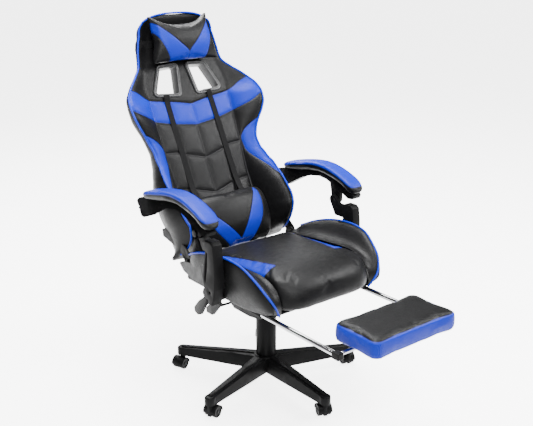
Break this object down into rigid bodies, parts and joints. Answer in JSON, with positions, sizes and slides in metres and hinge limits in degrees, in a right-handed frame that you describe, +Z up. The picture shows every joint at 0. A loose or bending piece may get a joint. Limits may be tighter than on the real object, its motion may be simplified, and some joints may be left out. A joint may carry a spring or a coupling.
{
  "type": "gaming chair",
  "caption": "High-backed reclining office chair with bolstered seat, head and lumbar pillows, linked armrests, pull-out footrest and castered star base.",
  "frame": {"origin": "gas-lift axis on the floor", "axes": "+Z up, -Y the way the sitter faces, +X to the sitter's left"},
  "size_m": [0.668, 1.2405, 1.2214],
  "materials": {
    "nylon": "satin moulded nylon",
    "caster_tread": "satin",
    "bare_steel": "zinc plated",
    "black_steel": "powder coat",
    "gloss_plastic": "glossy",
    "chrome": "polished",
    "black_leather": "soft sheen",
    "blue_leather": "soft sheen",
    "webbing": "woven",
    "bezel_grey": "satin metallic",
    "board": "painted"
  },
  "bodies": {
    "base": {"base_star": "nylon", "gas_cylinder": "black_steel", "column_cover_lower": "nylon", "caster_stems": "bare_steel"},
    "piston": {"gas_piston": "bare_steel", "column_cover_upper": "nylon"},
    "seat": {"mechanism_housing": "black_steel", "mechanism_top": "black_steel", "seat_pan": "black_steel", "seat_recliner_plates": "black_steel", "recliner_covers": "nylon", "seat_cushion": "black_leather", "seat_bolster_left": "black_leather", "seat_bolster_right": "black_leather", "arm_foot_brackets": "black_steel", "rail_sleeves": "black_steel"},
    "backrest": {"back_frame": "black_steel", "back_recliner_plates": "black_steel", "recliner_shaft": "black_steel", "back_cushion": "black_leather", "back_rear_panel": "black_leather", "back_bolster_left": "black_leather", "back_bolster_right": "black_leather", "back_head": "black_leather", "vent_bezels": "bezel_grey", "head_pillow": "black_leather", "head_strap": "webbing", "lumbar_pillow": "black_leather", "lumbar_straps": "webbing"},
    "recline_lever": {"recline_lever": "gloss_plastic"},
    "height_lever": {"height_lever": "gloss_plastic"},
    "rails": {"footrest_rails": "chrome", "footrest_cross_rod": "chrome", "rail_end_caps": "nylon"},
    "footrest": {"footrest_brackets": "black_steel", "footrest_board": "board", "footrest_pad": "black_leather"},
    "upright_left": {"arm_upright_left": "nylon", "arm_pivot_bolt_left": "black_steel"},
    "armrest_left": {"arm_beam_left": "nylon", "arm_pad_left": "blue_leather"},
    "upright_right": {"arm_upright_right": "nylon", "arm_pivot_bolt_right": "black_steel"},
    "armrest_right": {"arm_beam_right": "nylon", "arm_pad_right": "blue_leather"},
    "caster_1": {"caster_1_hood": "nylon", "caster_1_axle": "bare_steel"},
    "wheels_1": {"caster_1_wheels": "caster_tread"},
    "caster_2": {"caster_2_hood": "nylon", "caster_2_axle": "bare_steel"},
    "wheels_2": {"caster_2_wheels": "caster_tread"},
    "caster_3": {"caster_3_hood": "nylon", "caster_3_axle": "bare_steel"},
    "wheels_3": {"caster_3_wheels": "caster_tread"},
    "caster_4": {"caster_4_hood": "nylon", "caster_4_axle": "bare_steel"},
    "wheels_4": {"caster_4_wheels": "caster_tread"},
    "caster_5": {"caster_5_hood": "nylon", "caster_5_axle": "bare_steel"},
    "wheels_5": {"caster_5_wheels": "caster_tread"}
  },
  "joints": [
    {"name": "caster_swivel_1", "type": "hinge", "parent": "base", "child": "caster_1", "pos_m": [-0.30091, -0.08971, 0.03], "axis": [0, 0, 1], "continuous": true},
    {"name": "wheel_spin_1", "type": "hinge", "parent": "caster_1", "child": "wheels_1", "pos_m": [-0.28776, -0.08492, 0.02], "axis": [-0.342, 0.9397, 0], "continuous": true},
    {"name": "caster_swivel_2", "type": "hinge", "parent": "base", "child": "caster_2", "pos_m": [-0.00767, -0.31391, 0.03], "axis": [0, 0, 1], "continuous": true},
    {"name": "wheel_spin_2", "type": "hinge", "parent": "caster_2", "child": "wheels_2", "pos_m": [-0.00243, -0.30093, 0.02], "axis": [-0.9272, 0.3746, 0], "continuous": true},
    {"name": "caster_swivel_3", "type": "hinge", "parent": "base", "child": "caster_3", "pos_m": [0.29617, -0.1043, 0.03], "axis": [0, 0, 1], "continuous": true},
    {"name": "wheel_spin_3", "type": "hinge", "parent": "caster_3", "child": "wheels_3", "pos_m": [0.29979, -0.09078, 0.02], "axis": [-0.9659, 0.2588, 0], "continuous": true},
    {"name": "caster_swivel_4", "type": "hinge", "parent": "base", "child": "caster_4", "pos_m": [0.19072, 0.24945, 0.03], "axis": [0, 0, 1], "continuous": true},
    {"name": "wheel_spin_4", "type": "hinge", "parent": "caster_4", "child": "wheels_4", "pos_m": [0.17999, 0.25844, 0.02], "axis": [-0.6428, -0.766, 0], "continuous": true},
    {"name": "caster_swivel_5", "type": "hinge", "parent": "base", "child": "caster_5", "pos_m": [-0.1783, 0.25847, 0.03], "axis": [0, 0, 1], "continuous": true},
    {"name": "wheel_spin_5", "type": "hinge", "parent": "caster_5", "child": "wheels_5", "pos_m": [-0.19146, 0.25368, 0.02], "axis": [0.342, -0.9397, 0], "continuous": true},
    {"name": "gas_lift", "type": "slide", "parent": "base", "child": "piston", "axis": [0, 0, 1], "range_m": [0, 0.08]},
    {"name": "seat_swivel", "type": "hinge", "parent": "piston", "child": "seat", "pos_m": [0, 0, 0.276], "axis": [0, 0, 1], "continuous": true},
    {"name": "recline", "type": "hinge", "parent": "seat", "child": "backrest", "pos_m": [0, 0.13, 0.458], "axis": [-1, 0, 0], "range_deg": [-15, 25]},
    {"name": "upright_pivot_left", "type": "hinge", "parent": "seat", "child": "upright_left", "pos_m": [0.28, -0.062, 0.422], "axis": [-1, 0, 0], "range_deg": [-12, 20]},
    {"name": "armrest_pivot_left", "type": "hinge", "parent": "upright_left", "child": "armrest_left", "pos_m": [0.292, -0.029, 0.614], "axis": [-1, 0, 0], "range_deg": [-8, 5]},
    {"name": "upright_pivot_right", "type": "hinge", "parent": "seat", "child": "upright_right", "pos_m": [-0.28, -0.062, 0.422], "axis": [-1, 0, 0], "range_deg": [-12, 20]},
    {"name": "armrest_pivot_right", "type": "hinge", "parent": "upright_right", "child": "armrest_right", "pos_m": [-0.292, -0.029, 0.614], "axis": [-1, 0, 0], "range_deg": [-8, 5]},
    {"name": "footrest_slide", "type": "slide", "parent": "seat", "child": "rails", "axis": [0, 1, 0], "range_m": [0, 0.27]},
    {"name": "footrest_flip", "type": "hinge", "parent": "rails", "child": "footrest", "pos_m": [0, -0.56, 0.383], "axis": [1, 0, 0], "range_deg": [0, 180]},
    {"name": "recline_lever_pull", "type": "hinge", "parent": "seat", "child": "recline_lever", "pos_m": [-0.262, -0.014, 0.362], "axis": [1, 0, 0], "range_deg": [0, 14], "stiffness_Nm_per_rad": 0.6, "springref_deg": -20.05},
    {"name": "height_lever_pull", "type": "hinge", "parent": "seat", "child": "height_lever", "pos_m": [-0.262, -0.056, 0.362], "axis": [1, 0, 0], "range_deg": [0, 14], "stiffness_Nm_per_rad": 0.6, "springref_deg": -20.05}
  ],
  "couplings": [
    {"joint": "upright_pivot_left", "follows": "recline", "ratio": 0.765},
    {"joint": "armrest_pivot_left", "follows": "recline", "ratio": -0.3},
    {"joint": "upright_pivot_right", "follows": "recline", "ratio": 0.765},
    {"joint": "armrest_pivot_right", "follows": "recline", "ratio": -0.3},
    {"joint": "footrest_flip", "follows": "footrest_slide", "rad_per_m": 11.636}
  ]
}
